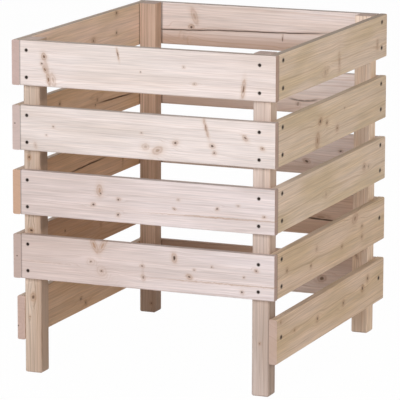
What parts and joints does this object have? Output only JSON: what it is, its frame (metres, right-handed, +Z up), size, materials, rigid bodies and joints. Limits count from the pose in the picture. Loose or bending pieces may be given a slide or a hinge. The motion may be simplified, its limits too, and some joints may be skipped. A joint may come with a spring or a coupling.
{
  "type": "compost bin",
  "caption": "Open slatted wooden compost bin: spaced boards screwed around square corner posts, with the lowest front board left out for taking compost out.",
  "frame": {"origin": "centre of the bin's footprint, at ground level", "axes": "+Z up, -Y out of the front with the missing lowest board, +X to the right seen from the front"},
  "size_m": [0.742, 0.862, 0.9],
  "materials": {
    "board_wood": "planed, untreated",
    "post_wood": "planed, untreated",
    "screw_steel": "dark coated steel"
  },
  "bodies": {
    "root": {"front_left_post": "post_wood", "front_right_post": "post_wood", "back_right_post": "post_wood", "back_left_post": "post_wood", "front_board_1": "board_wood", "front_board_2": "board_wood", "front_board_3": "board_wood", "front_board_4": "board_wood", "right_board_1": "board_wood", "right_board_2": "board_wood", "right_board_3": "board_wood", "right_board_4": "board_wood", "right_board_5": "board_wood", "back_board_1": "board_wood", "back_board_2": "board_wood", "back_board_3": "board_wood", "back_board_4": "board_wood", "back_board_5": "board_wood", "left_board_1": "board_wood", "left_board_2": "board_wood", "left_board_3": "board_wood", "left_board_4": "board_wood", "left_board_5": "board_wood", "front_screws": "screw_steel", "right_screws": "screw_steel", "back_screws": "screw_steel", "left_screws": "screw_steel"}
  },
  "joints": []
}
